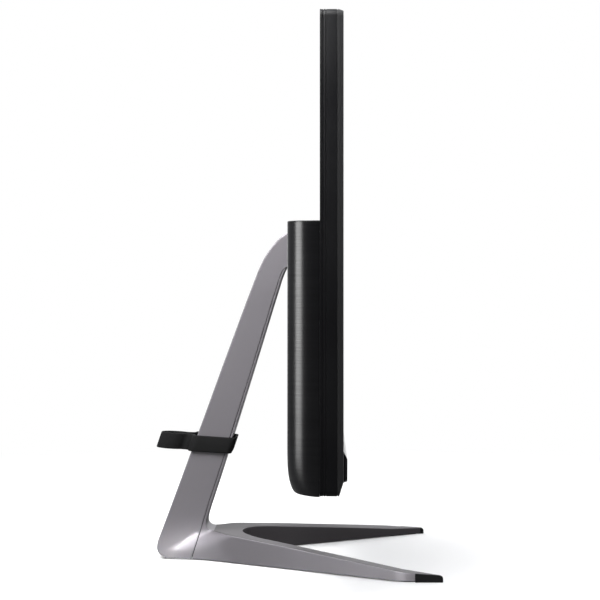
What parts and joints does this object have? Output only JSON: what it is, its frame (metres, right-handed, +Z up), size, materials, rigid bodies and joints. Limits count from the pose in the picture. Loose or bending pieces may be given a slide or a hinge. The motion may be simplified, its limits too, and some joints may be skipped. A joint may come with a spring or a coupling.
{
  "type": "all in one desktop computer",
  "caption": "Slim all in one desktop computer: wide flat display, shallow brushed rear housing, speaker bar, tilting hinge, slanted neck with cable clip and open V-shaped base.",
  "frame": {"origin": "on the floor plane, under the centre of the overall bounding box", "axes": "+Z up, the screen faces -Y, +X is to the right of somebody looking at the screen"},
  "size_m": [0.54, 0.2388, 0.4353],
  "materials": {
    "black_shell": "fine satin moulding texture",
    "brushed_shell": "dark plastic with a fine horizontal hairline brushed finish",
    "screen_face": "dark anti-glare screen surface",
    "white_moulding": "plain moulding",
    "light_guide": "clear acrylic sheet",
    "sheet_steel": "galvanised sheet",
    "hinge_steel": "machined and zinc plated",
    "fastener": "black zinc",
    "grille": "fine perforated moulding",
    "black_part": "plain moulding",
    "black_gloss": "polished moulding",
    "circuit_board": "solder mask over glass epoxy",
    "nickel_part": "nickel plated",
    "copper": "copper colour, flattened pipe and plate",
    "fins": "thin bare sheet",
    "socket_metal": "pressed and plated shell",
    "satin_silver": "satin silver, smooth painted casting",
    "cast_metal": "as cast",
    "rubber": "matt rubber"
  },
  "bodies": {
    "stand": {"neck_shell": "satin_silver", "neck_spine": "cast_metal", "friction_pack_left": "hinge_steel", "friction_pack_right": "hinge_steel", "base_frame": "satin_silver", "leg_cap_left": "rubber", "leg_cap_right": "rubber", "foot_pad_rear": "rubber", "cable_clip": "rubber"},
    "display": {"front_bezel": "black_shell", "lcd_panel": "screen_face", "backlight_unit": "white_moulding", "light_guide": "light_guide", "panel_backplate": "sheet_steel", "side_frame": "black_shell", "rear_cover": "black_shell", "main_chassis": "sheet_steel", "rear_housing": "brushed_shell", "housing_screw_left": "fastener", "housing_screw_right": "fastener", "hinge_well": "black_shell", "hinge_cheek_left": "hinge_steel", "hinge_cheek_right": "hinge_steel", "hinge_screw_left_lower": "fastener", "hinge_screw_left_upper": "fastener", "hinge_screw_right_lower": "fastener", "hinge_screw_right_upper": "fastener", "hinge_axle": "hinge_steel", "hinge_nut": "hinge_steel", "speaker_bar": "black_shell", "speaker_grille": "grille", "speaker_left": "black_part", "speaker_right": "black_part", "camera_module": "black_gloss", "power_switch": "circuit_board", "mainboard": "circuit_board", "processor": "nickel_part", "cold_plate": "copper", "heat_pipe": "copper", "fin_stack": "fins", "blower_housing": "black_part", "memory_module_1": "circuit_board", "memory_module_2": "circuit_board", "memory_socket": "black_part", "storage_card": "circuit_board", "wireless_card": "circuit_board", "clock_cell": "nickel_part", "drive_unit": "fins", "drive_tray": "sheet_steel", "connector_plate": "black_part", "socket_power": "black_gloss", "socket_network": "socket_metal", "socket_video": "socket_metal", "socket_usb_pair_1": "socket_metal", "socket_usb_pair_2": "socket_metal", "socket_audio": "black_part", "socket_card_reader": "socket_metal"},
    "power_key": {"power_button": "black_gloss"},
    "shutter": {"camera_shutter": "black_gloss"},
    "blower_rotor": {"blower_impeller": "black_part"}
  },
  "joints": [
    {"name": "display_tilt", "type": "hinge", "parent": "stand", "child": "display", "pos_m": [0, -0.00917, 0.262], "axis": [-1, 0, 0], "range_deg": [-5, 22]},
    {"name": "power_key_press", "type": "slide", "parent": "display", "child": "power_key", "axis": [0, 0, 1], "range_m": [0, 0.0008]},
    {"name": "shutter_slide", "type": "slide", "parent": "display", "child": "shutter", "axis": [-1, 0, 0], "range_m": [0, 0.0046]},
    {"name": "blower_spin", "type": "hinge", "parent": "display", "child": "blower_rotor", "pos_m": [-0.112, -0.00967, 0.221], "axis": [0, 1, 0], "continuous": true}
  ]
}
